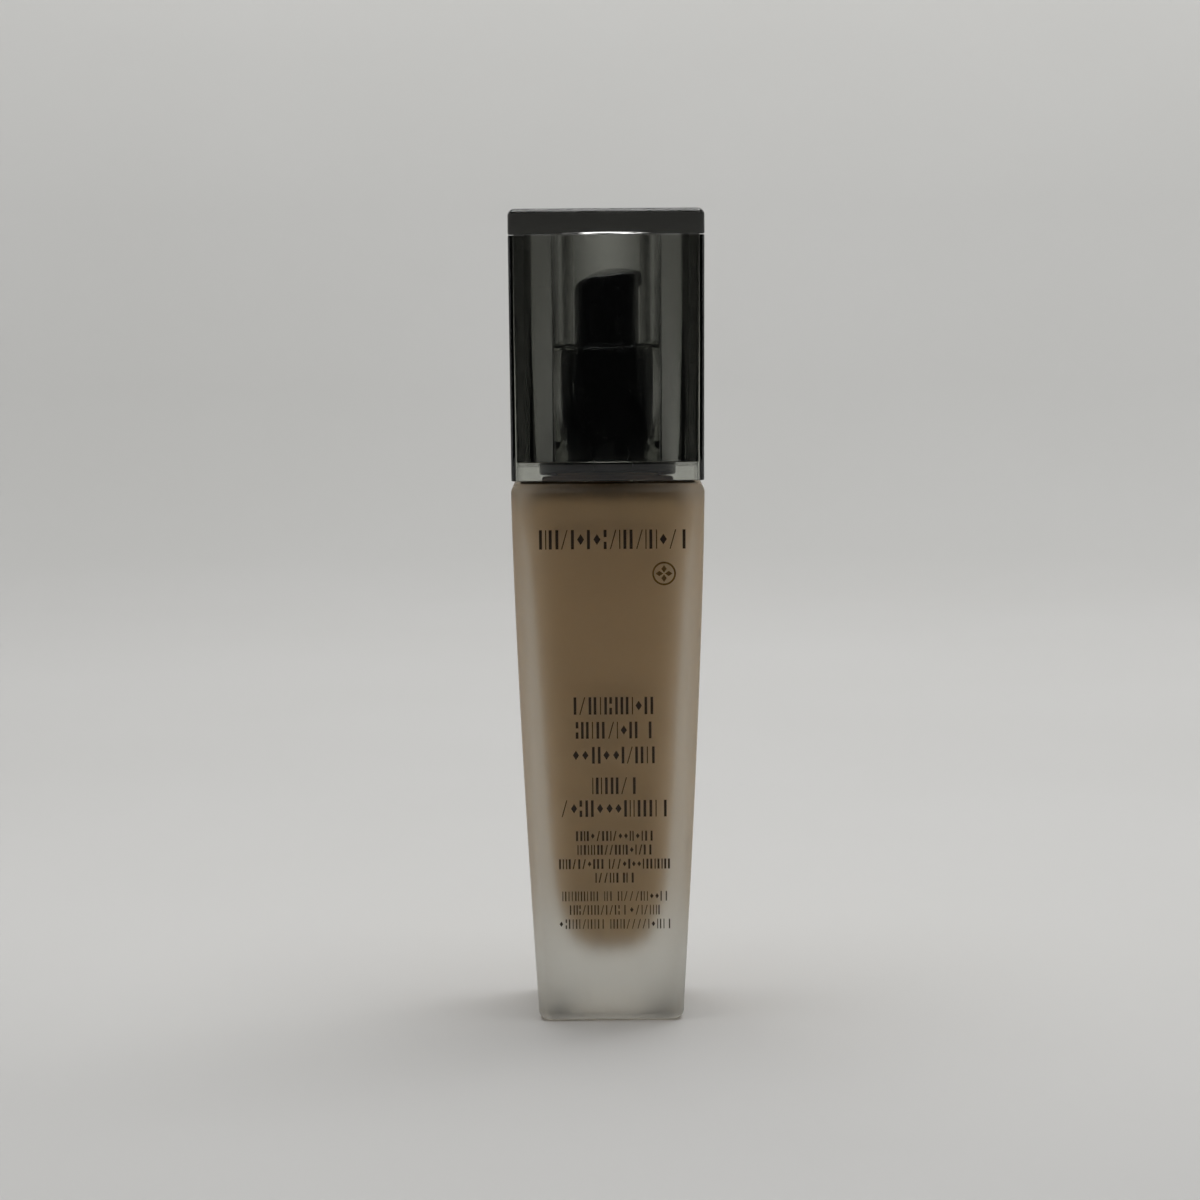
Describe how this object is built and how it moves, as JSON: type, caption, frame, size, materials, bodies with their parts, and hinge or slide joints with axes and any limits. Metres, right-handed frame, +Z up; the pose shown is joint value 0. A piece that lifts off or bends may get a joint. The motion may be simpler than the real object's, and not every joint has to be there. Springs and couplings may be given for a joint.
{
  "type": "foundation bottle",
  "caption": "Square tapered frosted-glass bottle of beige liquid make-up with a lotion pump and press head, under a square smoked and clear pull-off cap.",
  "frame": {"origin": "centre of the glass base, on the surface the bottle stands on", "axes": "+Z up along the bottle's axis; +X the way the pump's spout points; the printed front face looks along -Y"},
  "size_m": [0.0312, 0.0312, 0.132],
  "materials": {
    "frosted_glass": "acid-frosted outside, smooth inside, thick walls",
    "fluid": "opaque beige-brown liquid",
    "clear_plastic": "clear polished acrylic",
    "smoked_plastic": "smoke-grey tinted polished acrylic",
    "gloss_black": "glossy black moulding",
    "pale_moulding": "undyed polypropylene",
    "natural_tube": "translucent polyethylene",
    "seal": "soft polyethylene",
    "steel": "bright stainless wire and ball",
    "print_ink": "matt near-black silk-screen ink",
    "print_gold": "gold silk-screen ink"
  },
  "bodies": {
    "bottle": {"glass_bottle": "frosted_glass", "foundation_fluid": "fluid", "dip_tube": "natural_tube", "neck_gasket": "seal", "pump_housing": "pale_moulding", "ball_cage": "pale_moulding", "return_spring": "steel", "stem_guide": "pale_moulding", "snap_ring": "pale_moulding", "collar": "gloss_black"},
    "stem": {"pump_stem": "pale_moulding", "stem_spindle": "pale_moulding", "piston": "seal"},
    "head": {"press_head": "gloss_black", "head_core": "gloss_black"},
    "cap": {"cap_sleeve": "clear_plastic", "cap_core": "smoked_plastic", "cap_liner": "clear_plastic"},
    "inlet_valve": {"inlet_ball": "steel"}
  },
  "joints": [
    {"name": "cap_lift", "type": "slide", "parent": "bottle", "child": "cap", "axis": [0, 0, 1], "range_m": [0, 0.042]},
    {"name": "head_press", "type": "slide", "parent": "bottle", "child": "stem", "axis": [0, 0, -1], "range_m": [0, 0.0045], "stiffness_N_per_m": 2500, "springref_m": -0.0002, "deforming": ["return_spring"]},
    {"name": "head_turn", "type": "hinge", "parent": "stem", "child": "head", "pos_m": [0, 0, 0.114], "axis": [0, 0, 1], "continuous": true},
    {"name": "inlet_ball_lift", "type": "slide", "parent": "bottle", "child": "inlet_valve", "axis": [0, 0, 1], "range_m": [0, 0.0006]}
  ]
}
